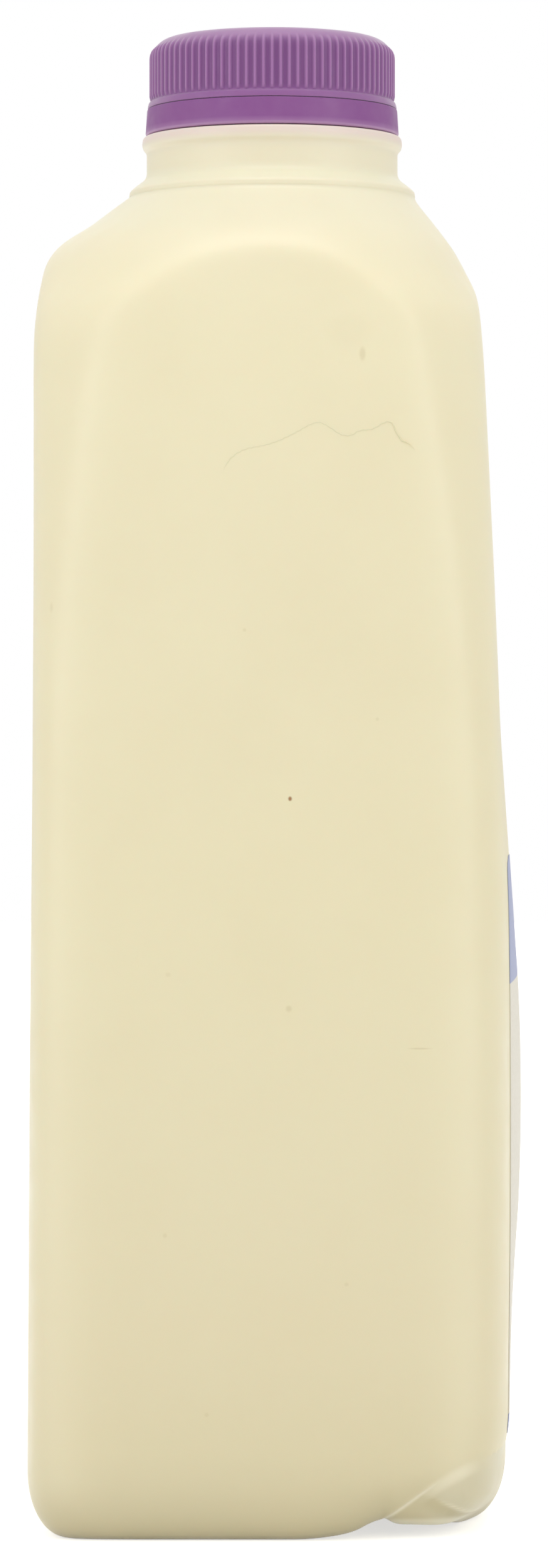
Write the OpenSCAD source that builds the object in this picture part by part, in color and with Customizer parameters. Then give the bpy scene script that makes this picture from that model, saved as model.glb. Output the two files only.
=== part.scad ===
// Square blow-moulded milk bottle with a ribbed, tamper-evident screw cap.
// The frame: +Z up, the origin under the neck on the surface that the bottle stands on,
// +X towards the side that carries the label, -Y towards the plain front.

/* [Bottle body] */
// Height at which the shoulder runs into the flange under the neck
shoulder_top = 214.6; // [212:0.2:218]
// Thickness of the blown wall
wall = 0.7; // [0.6:0.1:1]
// Width and height of the rounded edge around the base
heel_r = 5.8; // [4:0.2:7]
heel_h = 10; // [7:0.5:12]
// Height of the hollow pushed up into the base
push_up = 2.4; // [1.5:0.1:4]
// How far the labelled side swells out at its middle
swell = 2.3; // [0:0.05:3]
// Depth of the dent in the front corner of the base
dent_depth = 3.0; // [0:0.2:4]

/* [Neck] */
// Radius of the mouth's bore
mouth_r = 16.4; // [15.8:0.1:16.6]
// Radius of the wall that carries the thread
finish_r = 17.75; // [17.6:0.05:17.8]
// Radius of the neck between its bead and its flange
neck_r = 20.35; // [20:0.05:20.6]
// Radius of the bead under the tamper band
bead_r = 21.1; // [20.8:0.05:21.4]
// Radius of the flange at the foot of the neck
flange_r = 23.2; // [22.8:0.1:23.6]
// Height of the mouth above the surface that the bottle stands on
mouth_z = 236.3; // [236:0.1:236.4]

/* [Thread] */
// Rise of the thread in one full turn
lead = 12; // [11:0.5:13]
// Number of threads that start around the neck
starts = 4; // [4:1:4]
// Arc that each thread runs through
thread_arc = 100; // [60:10:100]
// Width of a thread's root, measured up the neck
thread_w = 1.1; // [0.8:0.1:1.2]

/* [Cap] */
// Height of the cap's flat top
cap_top = 239; // [238.9:0.1:240]
// Radius over the cap's ribs
cap_r = 20.05; // [19.95:0.05:20.2]
// Number of fine ribs around the cap
ribs = 90; // [60:1:110]
// Depth of the grooves between the ribs
rib_depth = 0.3; // [0.2:0.05:0.3]
// Thickness of the cap's top
cap_top_t = 1.3; // [1.2:0.1:1.3]
// Width of the slit between the cap and the tamper band
slit = 0.3; // [0.25:0.05:0.4]
// Number of small bridges across the slit
bridges = 8; // [4:1:12]

/* [Label] */
// Width of the label
label_w = 50; // [30:1:54]
// Height of the label's lower edge
label_low = 15; // [12:1:40]
// Height of the label's upper edge
label_high = 108; // [90:1:125]
// Thickness of the label
label_t = 0.25; // [0.2:0.05:0.4]

/* [Milk] */
// Height of the milk's surface in the neck
milk_top = 219.6; // [217:0.2:220.4]
// Gap left between the milk and the wall around it
milk_gap = 0.2; // [0.15:0.05:0.3]

/* [Hidden] */
$fn = 96;

// Half-widths of the body, as [height, distance from the neck's axis], lowest first.
LEFT = [[0, 38.8], [60, 38.5], [87, 38.25], [119, 37.95], [152, 37.8], [175, 37.85], [189, 37.9],
    [195, 37.8], [199, 37.3], [202.4, 36.5], [205.5, 34.2], [208.4, 30], [211.4, 25.6],
    [213.2, flange_r - 0.3], [shoulder_top, flange_r - 0.7]];
RIGHT = [[0, 37.5], [20, 37.75], [60, 37.75], [95, 37.5], [111, 36.95], [127, 36.15], [152, 35.3],
    [174, 34.4], [186, 33.9], [194, 33.3], [199, 32.2], [204, 29.8], [209.5, 25.8],
    [213.2, flange_r - 0.4], [shoulder_top, flange_r - 0.7]];
DEPTH = [[0, 38.6], [60, 38.4], [120, 37.8], [175, 37], [190, 36.45], [198, 35.9], [202, 35.2],
    [205.5, 32.7], [208.6, 28.8], [211.4, 25.2], [213.2, flange_r - 0.4], [shoulder_top, flange_r - 0.7]];
// How square the body is: 2 is round, and a larger power is squarer.
SQUARE = [[0, 7.8], [60, 7.8], [110, 7.4], [135, 6.8], [155, 6], [175, 5], [190, 3.9], [198, 3],
    [204, 2.3], [208.5, 2.05], [shoulder_top, 2]];
// How far the middle of the labelled side swells out, as a share of its greatest swell.
SWELL = [[0, 0], [20, 0], [33, 0.31], [42, 0.59], [52, 0.84], [66, 1], [79, 0.96], [95, 0.69],
    [103, 0.53], [111, 0.35], [119, 0.18], [127, 0.06], [150, 0], [shoulder_top, 0]];
SWELL_REACH = 27.5;
DENT_AT = [36, -34, 0];
DENT_REACH = 32;
DENT_PUSH = [-0.4, 0.3, 1];

thread_h = 1;
thread_z = 229;
thread_pitch = lead / starts;
cap_bore_r = 19;
cap_thread_arc = 60;
skirt_low = 227.65;
rib_low = 229;
rib_high = 236.4;
band_low = 223.25;
band_bore_r = 19.75;
lip_r = 18.75;
liner_t = 1.1;
label_gap = 0.12;
ring_steps = 56;
milk_ring_steps = 40;

// A smooth curve through a table of [height, value] rows.
function slope(t, i) =
    let (a = max(i - 1, 0), b = min(i + 1, len(t) - 1))
    (t[b][1] - t[a][1]) / (t[b][0] - t[a][0]);

function smooth(t, z, i = 0) =
    i < len(t) - 2 && z > t[i + 1][0] ? smooth(t, z, i + 1) :
    let (h = t[i + 1][0] - t[i][0], s = (z - t[i][0]) / h)
    t[i][1] * (1 + 2 * s) * (1 - s) ^ 2 + slope(t, i) * h * s * (1 - s) ^ 2
    + t[i + 1][1] * s ^ 2 * (3 - 2 * s) - slope(t, i + 1) * h * s ^ 2 * (1 - s);

// The swell of the labelled side at a distance across it and a height.
function swollen(y, z) = swell * max(0, smooth(SWELL, z)) * max(0, 1 - (y / SWELL_REACH) ^ 2) ^ 1.5;

// A coordinate of a rounded square: c is the sine or cosine of the angle around it.
function squared(c, power) = sign(c) * abs(c) ^ (2 / power);

// The push of the dent at a point of the body.
function dented(p) =
    let (near = min(1, 1.6 * max(0, 1 - norm(p - DENT_AT) / DENT_REACH)))
    p + dent_depth * near ^ 2 * (3 - 2 * near) * DENT_PUSH;

// A point of the outer wall at a height, an angle around the body and an inset from the side.
function body_point(z, angle, inset) =
    let (
        power = smooth(SQUARE, z),
        side = cos(angle) < 0 ? smooth(LEFT, z) : smooth(RIGHT, z),
        x = (side - inset) * squared(cos(angle), power),
        y = (smooth(DEPTH, z) - inset) * squared(sin(angle), power),
        out = x > 0 && inset == 0 ? swollen(y, z) : 0
    )
    dented([x + out, y, z]);

// The wall's route from the middle of the base to the flange, as [height, inset] rows.
function route(top) = concat(
    [[push_up, 27], [push_up * 0.8, 15], [0, 9.5]],
    [for (a = [0:18:90]) [heel_h * (1 - cos(a)), heel_r * (1 - sin(a))]],
    [for (z = [12, 16, 21, 28, 38, 50, 63, 76, 90, 104, 118, 132, 146, 160, 172, 182, 190]) [z, 0]],
    [for (z = [194:2.5:206.5]) [z, 0]],
    [for (z = [208, 209.5, 211, 212.2, 213.2]) if (z < top) [z, 0]],
    [[top, 0]]
);

function body_grid(rows, steps) = [
    for (row = rows) [for (j = [0:steps - 1]) body_point(row[0], 360 * j / steps, row[1])]
];

function outward(grid, k, j) =
    let (
        last = len(grid) - 1,
        n = len(grid[0]),
        around = grid[k][(j + 1) % n] - grid[k][(j + n - 1) % n],
        along = grid[min(k + 1, last)][j] - grid[max(k - 1, 0)][j],
        normal = cross(around, along)
    )
    k == 0 ? [0, 0, -1] :
    k == last ? [grid[k][j].x, grid[k][j].y, 0] / norm([grid[k][j].x, grid[k][j].y]) :
    normal / norm(normal);

// The points of the wall, moved inwards by a depth, ring by ring.
function skin(grid, depth) = [
    for (k = [0:len(grid) - 1]) for (j = [0:len(grid[0]) - 1])
        grid[k][j] - depth * outward(grid, k, j)
];

// Triangles between two rings of n points that start at points a and b.
function band_faces(a, b, n) = [
    for (j = [0:n - 1]) let (next = (j + 1) % n)
        each [[a + j, b + j, a + next], [a + next, b + j, b + next]]
];

function flipped(faces) = [for (f = faces) [for (i = [len(f) - 1:-1:0]) f[i]]];

function side_faces(first, rings, n) = [
    for (k = [0:rings - 2]) each band_faces(first + k * n, first + (k + 1) * n, n)
];

function disc_face(first, n) = [[for (j = [0:n - 1]) first + j]];

// The blown body: an outer and an inner skin, joined by a rim at the top.
module body_shell() {
    rows = route(shoulder_top);
    grid = body_grid(rows, ring_steps);
    rings = len(rows);
    inner = rings * ring_steps;
    top = (rings - 1) * ring_steps;
    polyhedron(
        points = concat(skin(grid, 0), skin(grid, wall)),
        faces = concat(
            side_faces(0, rings, ring_steps),
            disc_face(0, ring_steps),
            flipped(side_faces(inner, rings, ring_steps)),
            flipped(disc_face(inner, ring_steps)),
            band_faces(top, inner + top, ring_steps)
        ),
        convexity = 6
    );
}

// The neck, from the flange up to the mouth, turned about the bottle's axis.
module neck() {
    flange_low = shoulder_top - 1.4;
    rotate_extrude()
        polygon([
            [flange_r - 2.2, flange_low], [flange_r, flange_low], [flange_r, flange_low + 1.1],
            [flange_r - 0.6, flange_low + 1.8], [neck_r, flange_low + 3], [neck_r, 220.6],
            [bead_r - 0.3, 221], [bead_r, 221.5], [bead_r, 222.3], [bead_r - 0.3, 222.8],
            [bead_r - 1, 223], [finish_r + 0.35, 223.2], [finish_r + 0.35, 225.6],
            [finish_r + 1.6, 226], [finish_r + 1.6, 226.4], [finish_r, 227.1],
            [finish_r, mouth_z - 0.4], [finish_r - 0.4, mouth_z], [mouth_r + 0.3, mouth_z],
            [mouth_r, mouth_z - 0.3], [mouth_r, 222.4], [neck_r - 1.45, 220.9],
            [neck_r - 1.45, flange_low + 3], [flange_r - 2.2, flange_low + 1.2]
        ]);
}

// One helical ridge. root and crest are its radii; the crest fades out at both ends.
module ridge(root, crest, z, arc) {
    steps = ceil(arc / 8);
    function section(s) =
        let (
            angle = arc * s / steps,
            fade = min(1, 0.1 + min(s, steps - s) * 0.45),
            r = root + (crest - root) * fade,
            h = z + lead * angle / 360
        )
        [
            for (c = [[root, -thread_w / 2], [r, -thread_w / 5], [r, thread_w / 5], [root, thread_w / 2]])
                [c[0] * cos(angle), c[0] * sin(angle), h + c[1]]
        ];
    sides = [for (s = [0:steps - 1]) each band_faces(4 * s, 4 * s + 4, 4)];
    inward = crest < root;
    faces = concat(sides, [[0, 1, 2, 3]], [[for (i = [3:-1:0]) 4 * steps + i]]);
    polyhedron(
        points = [for (s = [0:steps]) each section(s)],
        faces = inward ? faces : flipped(faces),
        convexity = 4
    );
}

module thread(root, crest, z, arc, turn) {
    for (i = [0:starts - 1])
        rotate(turn + i * 360 / starts)
            ridge(root, crest, z, arc);
}

module bottle() {
    color("#efe6cd")
        union() {
            body_shell();
            neck();
            thread(finish_r - 0.3, finish_r + thread_h, thread_z + 0.4, thread_arc, 0);
        }
}

// Outline of the ribbed skirt: one crest and one groove for each rib.
module ribbed_ring() {
    step = 360 / ribs;
    groove_r = cap_r - rib_depth;
    difference() {
        polygon([
            for (i = [0:ribs - 1]) each [
                groove_r * [cos((i - 0.28) * step), sin((i - 0.28) * step)],
                cap_r * [cos((i - 0.1) * step), sin((i - 0.1) * step)],
                cap_r * [cos((i + 0.1) * step), sin((i + 0.1) * step)],
                groove_r * [cos((i + 0.28) * step), sin((i + 0.28) * step)]
            ]
        ]);
        circle(cap_r - 0.7);
    }
}

module screw_cap() {
    edge = 3.5;
    skirt_r = cap_r - rib_depth - 0.04;
    color("#8a5590")
        union() {
            rotate_extrude()
                polygon(concat(
                    [[0, cap_top - cap_top_t], [cap_bore_r - 0.75, cap_top - cap_top_t]],
                    [[cap_bore_r, cap_top - 3.2], [cap_bore_r, skirt_low]],
                    [[cap_r + 0.3, skirt_low], [cap_r + 0.2, rib_low - 0.4], [cap_r, rib_low]],
                    [[skirt_r, rib_low + 0.1]],
                    [for (a = [0:15:90]) [skirt_r - edge * (1 - cos(a)), cap_top - edge * (1 - sin(a))]],
                    [[0, cap_top]]
                ));
            translate([0, 0, rib_low - 0.05])
                linear_extrude(rib_high - rib_low)
                    ribbed_ring();
            thread(cap_bore_r + 0.3, cap_bore_r - thread_h, thread_z + 0.4 - thread_pitch / 2,
                cap_thread_arc, 20);
        }
}

module cap_liner() {
    color("#f5f3ee")
        translate([0, 0, cap_top - cap_top_t - liner_t - 0.05])
            cylinder(h = liner_t, r = cap_bore_r - 0.9);
}

module tamper_band() {
    top = skirt_low - slit;
    color("#8a5590")
        union() {
            rotate_extrude()
                polygon([
                    [lip_r, band_low + 0.5], [lip_r + 0.25, band_low], [cap_r + 0.45, band_low],
                    [cap_r + 0.65, band_low + 0.3], [cap_r + 0.4, top], [band_bore_r, top],
                    [band_bore_r, band_low + 2.3], [lip_r, band_low + 1.6]
                ]);
            for (i = [0:bridges - 1])
                rotate((i + 0.5) * 360 / bridges)
                    translate([band_bore_r + 0.2, -0.3, top - 0.2])
                        cube([0.3, 0.6, slit + 0.1]);
        }
}

// A point of the label: a distance across it, a height, and a distance out from the wall.
function label_point(y, z, out) =
    let (power = smooth(SQUARE, z), share = abs(y) / smooth(DEPTH, z))
    dented([smooth(RIGHT, z) * (1 - share ^ power) ^ (1 / power) + swollen(y, z) + out, y, z]);

module side_label() {
    columns = 10;
    rows = 24;
    sheet = (columns + 1) * (rows + 1);
    points = [
        for (out = [label_gap, label_gap + label_t]) for (i = [0:rows]) for (j = [0:columns])
            label_point(
                label_w * (j / columns - 0.5),
                label_low + (label_high - label_low) * i / rows,
                out
            )
    ];
    function cell(i, j, first) =
        let (a = first + i * (columns + 1) + j, b = a + columns + 1)
        [[a, b, a + 1], [a + 1, b, b + 1]];
    function side(a, b) = [[a, b, a + sheet], [b, b + sheet, a + sheet]];
    outer = [for (i = [0:rows - 1]) for (j = [0:columns - 1]) each cell(i, j, sheet)];
    inner = [for (i = [0:rows - 1]) for (j = [0:columns - 1]) each cell(i, j, 0)];
    right = (columns + 1) * rows;
    edges = concat(
        [for (j = [0:columns - 1]) each side(j + 1, j)],
        [for (j = [0:columns - 1]) each side(right + j, right + j + 1)],
        [for (i = [0:rows - 1]) each side(i * (columns + 1), (i + 1) * (columns + 1))],
        [for (i = [0:rows - 1]) each side((i + 1) * (columns + 1) + columns, i * (columns + 1) + columns)]
    );
    color("#dfdccf")
        polyhedron(points = points, faces = concat(outer, flipped(inner), edges), convexity = 4);
}

module milk() {
    // The grid's last ring only gives the ring under it the shoulder's slope.
    rows = route(shoulder_top - 1.4);
    rings = len(rows) - 1;
    inset = skin(body_grid(rows, milk_ring_steps), wall + milk_gap);
    color("#f6ecd0")
        union() {
            polyhedron(
                points = [for (i = [0:rings * milk_ring_steps - 1]) inset[i]],
                faces = concat(
                    side_faces(0, rings, milk_ring_steps),
                    disc_face(0, milk_ring_steps),
                    flipped(disc_face((rings - 1) * milk_ring_steps, milk_ring_steps))
                ),
                convexity = 4
            );
            rotate_extrude()
                polygon([
                    [0, shoulder_top - 8], [flange_r - 2.4, shoulder_top - 8],
                    [flange_r - 2.4, shoulder_top - 0.3], [neck_r - 1.65, shoulder_top + 1.5],
                    [neck_r - 1.65, milk_top], [0, milk_top]
                ]);
        }
}

bottle();
screw_cap();
cap_liner();
tamper_band();
side_label();
milk();
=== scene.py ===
"""A square plastic milk bottle: blown body, ribbed screw cap, tamper band, label and milk."""

import logging
import math
from dataclasses import dataclass, field
from enum import Enum
from typing import Callable, Iterable, Sequence

import bpy
import numpy as np
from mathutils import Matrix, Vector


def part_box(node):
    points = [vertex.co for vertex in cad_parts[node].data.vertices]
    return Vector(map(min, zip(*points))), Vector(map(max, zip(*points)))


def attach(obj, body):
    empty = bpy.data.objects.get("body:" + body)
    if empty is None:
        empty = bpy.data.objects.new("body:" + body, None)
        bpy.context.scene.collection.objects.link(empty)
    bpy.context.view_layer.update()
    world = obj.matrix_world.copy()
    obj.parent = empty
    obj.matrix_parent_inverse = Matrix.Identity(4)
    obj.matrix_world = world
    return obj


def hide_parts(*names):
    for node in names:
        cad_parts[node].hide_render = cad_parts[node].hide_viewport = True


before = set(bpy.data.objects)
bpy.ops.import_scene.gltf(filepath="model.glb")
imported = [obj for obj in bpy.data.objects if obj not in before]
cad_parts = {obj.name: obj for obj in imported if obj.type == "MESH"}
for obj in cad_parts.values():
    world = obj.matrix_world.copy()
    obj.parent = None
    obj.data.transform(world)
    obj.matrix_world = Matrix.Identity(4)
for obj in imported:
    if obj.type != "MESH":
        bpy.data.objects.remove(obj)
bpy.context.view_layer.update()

LOG = logging.getLogger("milk_bottle")
MM = 0.001

Table = tuple[tuple[float, float], ...]
Colour = tuple[float, float, float]
Spot = tuple[float, float, float]


class Body(Enum):
    """The moving bodies that pieces ride on."""

    BOTTLE = "bottle"
    BAND = "band"
    CAP = "cap"


def linear(red: int, green: int, blue: int) -> Colour:
    """Turns a colour written as 0-255 screen values into linear light."""

    def one(value: int) -> float:
        """Turns one screen value into linear light."""
        share = value / 255
        return share / 12.92 if share <= 0.04045 else ((share + 0.055) / 1.055) ** 2.4

    return one(red), one(green), one(blue)


def smooth(table: Table, at: np.ndarray | float) -> np.ndarray:
    """Reads a smooth curve that runs through a table of rows.

    Args:
        table: Rows of (place, value), lowest place first.
        at: The places to read.

    Returns:
        The curve's value at each place.
    """
    xs, ys = np.array(table, float).T
    slopes = np.empty(len(xs))
    slopes[1:-1] = (ys[2:] - ys[:-2]) / (xs[2:] - xs[:-2])
    slopes[0] = (ys[1] - ys[0]) / (xs[1] - xs[0])
    slopes[-1] = (ys[-1] - ys[-2]) / (xs[-1] - xs[-2])
    at = np.clip(np.asarray(at, float), xs[0], xs[-1])
    i = np.clip(np.searchsorted(xs, at, side="right") - 1, 0, len(xs) - 2)
    h = xs[i + 1] - xs[i]
    s = (at - xs[i]) / h
    return (
        ys[i] * (1 + 2 * s) * (1 - s) ** 2
        + slopes[i] * h * s * (1 - s) ** 2
        + ys[i + 1] * s**2 * (3 - 2 * s)
        - slopes[i + 1] * h * s**2 * (1 - s)
    )


def ease(low: float, high: float, value: np.ndarray | float) -> np.ndarray:
    """Rises smoothly from 0 at low to 1 at high."""
    s = np.clip((np.asarray(value, float) - low) / (high - low), 0, 1)
    return s * s * (3 - 2 * s)


def filleted(corners: Sequence[tuple[float, float, float]], steps: int = 4) -> np.ndarray:
    """Rounds the corners of an open outline.

    Args:
        corners: Rows of (r, z, fillet radius) in millimetres.
        steps: Number of chords in each fillet.

    Returns:
        The outline's points, as rows of (r, z).
    """
    points = [np.array(corners[0][:2], float)]
    for before, here, after in zip(corners, corners[1:], corners[2:]):
        corner = np.array(here[:2], float)
        a = np.array(before[:2], float) - corner
        b = np.array(after[:2], float) - corner
        reach = min(here[2], 0.45 * np.linalg.norm(a), 0.45 * np.linalg.norm(b))
        if reach <= 0:
            points.append(corner)
            continue
        start = corner + a / np.linalg.norm(a) * reach
        end = corner + b / np.linalg.norm(b) * reach
        for t in np.linspace(0, 1, steps + 1):
            points.append((1 - t) ** 2 * start + 2 * t * (1 - t) * corner + t**2 * end)
    points.append(np.array(corners[-1][:2], float))
    return np.array(points)


def divided(outline: np.ndarray, longest: float) -> np.ndarray:
    """Splits an outline's long edges, so that none is longer than a limit."""
    out = [outline[0]]
    for a, b in zip(outline[:-1], outline[1:]):
        parts = max(1, math.ceil(np.linalg.norm(b - a) / longest))
        out += [a + (b - a) * (i + 1) / parts for i in range(parts)]
    return np.array(out)


class MeshBuilder:
    """Collects closed surfaces and makes one Blender mesh object of them."""

    def __init__(self, name: str) -> None:
        """Starts an empty mesh of that name."""
        self.name = name
        self.points: list[np.ndarray] = []
        self.faces: list[tuple[int, ...]] = []
        self.count = 0
        self.marks: dict[str, list[np.ndarray]] = {}

    def loft(self, rings: np.ndarray, closed: bool = False, **marks: np.ndarray) -> None:
        """Adds a surface through rings of points that run counter-clockwise.

        Args:
            rings: Points in millimetres, by ring and by place in the ring.
            closed: Joins the last ring to the first, in place of capping both.
            **marks: Named values in 0-1, one for each point, kept as attributes.
        """
        rows, columns = rings.shape[:2]
        first = self.count
        self.points.append(rings.reshape(-1, 3) * MM)
        self.count += rows * columns
        for name in set(self.marks) | set(marks):
            told = self.marks.setdefault(name, [np.zeros(first)])
            told.append(np.asarray(marks.get(name, np.zeros((rows, columns)))).reshape(-1))
        for i in range(rows if closed else rows - 1):
            a = first + i * columns
            b = first + ((i + 1) % rows) * columns
            for j in range(columns):
                k = (j + 1) % columns
                self.faces.append((a + j, a + k, b + k, b + j))
        if not closed:
            last = first + (rows - 1) * columns
            self.faces.append(tuple(first + j for j in reversed(range(columns))))
            self.faces.append(tuple(last + j for j in range(columns)))

    def build(self, box: tuple | None = None) -> bpy.types.Object:
        """Makes the object, smooth-shaded and kept inside a box.

        Args:
            box: Lowest and highest corner that the mesh may reach, in metres.

        Returns:
            The new object, linked to the scene.
        """
        points = np.concatenate(self.points)
        if box:
            points = np.clip(points, np.array(box[0]), np.array(box[1]))
        mesh = bpy.data.meshes.new(self.name)
        mesh.from_pydata(points.tolist(), [], self.faces)
        for name, parts in self.marks.items():
            values = np.concatenate(parts)
            layer = mesh.attributes.new(name, "FLOAT", "POINT")
            layer.data.foreach_set("value", values.astype(np.float32))
        mesh.polygons.foreach_set("use_smooth", [len(p.vertices) == 4 for p in mesh.polygons])
        mesh.update()
        made = bpy.data.objects.new(self.name, mesh)
        bpy.context.scene.collection.objects.link(made)
        return made


def turned(outline: np.ndarray, angles: np.ndarray | int) -> np.ndarray:
    """Turns an outline about the bottle's axis.

    Args:
        outline: Rows of (r, z) in millimetres.
        angles: The angles of the columns, or how many there are if they are evenly spread.

    Returns:
        Rings of points, by row of the outline and by column.
    """
    if isinstance(angles, int):
        angles = np.arange(angles) * 2 * math.pi / angles
    around = np.stack([np.cos(angles), np.sin(angles)], -1)
    rings = np.empty((len(outline), len(angles), 3))
    rings[..., :2] = outline[:, None, :1] * around
    rings[..., 2] = outline[:, None, 1]
    return rings


def helix_ridge(root: float, crest: float, low: float, rise: float, arc: float, turn: float) -> np.ndarray:
    """Makes the sections of one thread's ridge.

    Args:
        root: Radius at which the ridge leaves its wall.
        crest: Radius of the ridge's crest.
        low: Height at which the ridge starts.
        rise: Rise in one full turn.
        arc: Degrees that the ridge runs through.
        turn: Degrees at which it starts.

    Returns:
        Rings of points along the ridge, in millimetres.
    """
    steps = int(arc / 3)
    share = np.linspace(0, 1, steps + 1)
    angle = np.radians(turn + share * arc)
    height = low + rise * share * arc / 360
    fade = ease(0, 0.16, share) * ease(0, 0.16, 1 - share)
    across = np.linspace(-1, 1, 9)
    bulge = (1 - across**4) * 1.0
    r = root + (crest - root) * (0.04 + 0.96 * fade[:, None] * bulge)
    back = np.full((len(share), 1), root - math.copysign(0.25, crest - root))
    r = np.concatenate([r, back], 1)
    z = height[:, None] + np.append(across * 0.58, 0.0)[None, :]
    rings = np.stack([r * np.cos(angle)[:, None], r * np.sin(angle)[:, None], z], -1)
    return rings if crest < root else rings[:, ::-1]


class Sheet:
    """A material's node tree, with short calls for the nodes that the finishes use."""

    def __init__(self, name: str) -> None:
        """Starts a material of that name, with its main shader."""
        self.material = bpy.data.materials.new(name)
        self.material.use_nodes = True
        self.tree = self.material.node_tree
        self.shader = self.tree.nodes["Principled BSDF"]
        self.place = self.add("ShaderNodeTexCoord").outputs["Object"]

    def add(self, kind: str, **settings: object) -> bpy.types.Node:
        """Adds a node and sets its own properties."""
        node = self.tree.nodes.new(kind)
        for key, value in settings.items():
            setattr(node, key, value)
        return node

    def join(self, source: bpy.types.NodeSocket, target: bpy.types.NodeSocket) -> None:
        """Links two sockets."""
        self.tree.links.new(source, target)

    def feed(self, socket: bpy.types.NodeSocket, value: object) -> None:
        """Links a socket to another one, or sets its value."""
        if isinstance(value, bpy.types.NodeSocket):
            self.join(value, socket)
        elif isinstance(value, tuple) and len(value) == 3 and socket.type == "RGBA":
            socket.default_value = (*value, 1.0)
        else:
            socket.default_value = value

    def noise(self, scale: float, detail: float = 2.0, stretch: Spot = (1, 1, 1)) -> bpy.types.NodeSocket:
        """Adds a noise over the piece's own coordinates.

        Args:
            scale: Noise cells in a metre.
            detail: Octaves of finer noise.
            stretch: Scale of each axis, to draw the noise out into streaks.

        Returns:
            The noise's value.
        """
        spread = self.add("ShaderNodeMapping")
        spread.inputs["Scale"].default_value = stretch
        self.join(self.place, spread.inputs["Vector"])
        node = self.add("ShaderNodeTexNoise")
        node.inputs["Scale"].default_value = scale
        node.inputs["Detail"].default_value = detail
        self.join(spread.outputs["Vector"], node.inputs["Vector"])
        return node.outputs["Fac"]

    def ranged(self, value: bpy.types.NodeSocket, low: float, high: float, to_low: float = 0.0,
               to_high: float = 1.0) -> bpy.types.NodeSocket:
        """Maps a value from one range to another, smoothly and clamped."""
        node = self.add("ShaderNodeMapRange", interpolation_type="SMOOTHSTEP")
        self.feed(node.inputs["Value"], value)
        for key, number in (("From Min", low), ("From Max", high), ("To Min", to_low), ("To Max", to_high)):
            node.inputs[key].default_value = number
        return node.outputs["Result"]

    def mix(self, share: object, a: object, b: object) -> bpy.types.NodeSocket:
        """Mixes two colours by a share."""
        node = self.add("ShaderNodeMix", data_type="RGBA")
        self.feed(node.inputs["Factor"], share)
        self.feed(node.inputs["A"], a)
        self.feed(node.inputs["B"], b)
        return node.outputs["Result"]

    def maths(self, operation: str, a: object, b: object) -> bpy.types.NodeSocket:
        """Joins two values by a sum, product, power or the like."""
        node = self.add("ShaderNodeMath", operation=operation)
        self.feed(node.inputs[0], a)
        self.feed(node.inputs[1], b)
        return node.outputs["Value"]

    def mark(self, name: str) -> bpy.types.NodeSocket:
        """Reads one of the mesh's own marks."""
        return self.add("ShaderNodeAttribute", attribute_name=name).outputs["Fac"]

    def axis(self, name: str) -> bpy.types.NodeSocket:
        """Reads one coordinate of the piece, in metres."""
        node = self.add("ShaderNodeSeparateXYZ")
        self.join(self.place, node.inputs["Vector"])
        return node.outputs[name]

    def near(self, spot: Spot, reach: Spot) -> bpy.types.NodeSocket:
        """Gives 1 at a spot of the piece and 0 a reach away, in metres along each axis."""
        away = self.add("ShaderNodeVectorMath", operation="SUBTRACT")
        self.join(self.place, away.inputs[0])
        away.inputs[1].default_value = spot
        scaled = self.add("ShaderNodeVectorMath", operation="DIVIDE")
        self.join(away.outputs["Vector"], scaled.inputs[0])
        scaled.inputs[1].default_value = reach
        size = self.add("ShaderNodeVectorMath", operation="LENGTH")
        self.join(scaled.outputs["Vector"], size.inputs[0])
        return self.ranged(size.outputs["Value"], 0.3, 1.0, 1.0, 0.0)

    def ramp(self, value: bpy.types.NodeSocket, stops: Sequence[tuple[float, Colour]]) -> bpy.types.NodeSocket:
        """Reads a colour from a run of colours, each given with its place."""
        low, high = stops[0][0], stops[-1][0]
        node = self.add("ShaderNodeMapRange")
        self.feed(node.inputs["Value"], value)
        node.inputs["From Min"].default_value = low
        node.inputs["From Max"].default_value = high
        run = self.add("ShaderNodeValToRGB")
        steps = run.color_ramp.elements
        while len(steps) < len(stops):
            steps.new(0.5)
        for i, (place, _) in enumerate(stops):
            steps[i].position = (place - low) / (high - low)
        for step, (_, colour) in zip(steps, stops):
            step.color = (*colour, 1.0)
        self.join(node.outputs["Result"], run.inputs["Fac"])
        return run.outputs["Color"]

    def bump(self, height: bpy.types.NodeSocket, distance: float, strength: float = 1.0,
             under: bpy.types.NodeSocket | None = None) -> bpy.types.NodeSocket:
        """Turns a height into a bumped normal.

        Args:
            height: The height, in 0-1.
            distance: How tall a height of 1 is, in metres.
            strength: Share of the bump that shows.
            under: Another bump's normal to build on.

        Returns:
            The bumped normal.
        """
        node = self.add("ShaderNodeBump")
        node.inputs["Distance"].default_value = distance
        node.inputs["Strength"].default_value = strength
        self.join(height, node.inputs["Height"])
        if under:
            self.join(under, node.inputs["Normal"])
        return node.outputs["Normal"]

    def finish(self, colour: object, roughness: object, normal: bpy.types.NodeSocket | None = None,
               **plain: float) -> bpy.types.Material:
        """Feeds the main shader.

        Args:
            colour: Base colour.
            roughness: Roughness.
            normal: Bumped normal, if any.
            **plain: Numbers for other sockets, with spaces in their names as underscores.

        Returns:
            The finished material.
        """
        self.feed(self.shader.inputs["Base Color"], colour)
        self.feed(self.shader.inputs["Roughness"], roughness)
        if normal:
            self.join(normal, self.shader.inputs["Normal"])
        for name, number in plain.items():
            self.shader.inputs[name.replace("_", " ")].default_value = number
        return self.material


@dataclass(frozen=True)
class Speck:
    """A small mark in the wall: where it is, how far it reaches and how strongly it shows."""

    spot: Spot
    reach: Spot
    strength: float
    colour: Colour = linear(196, 180, 136)


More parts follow.
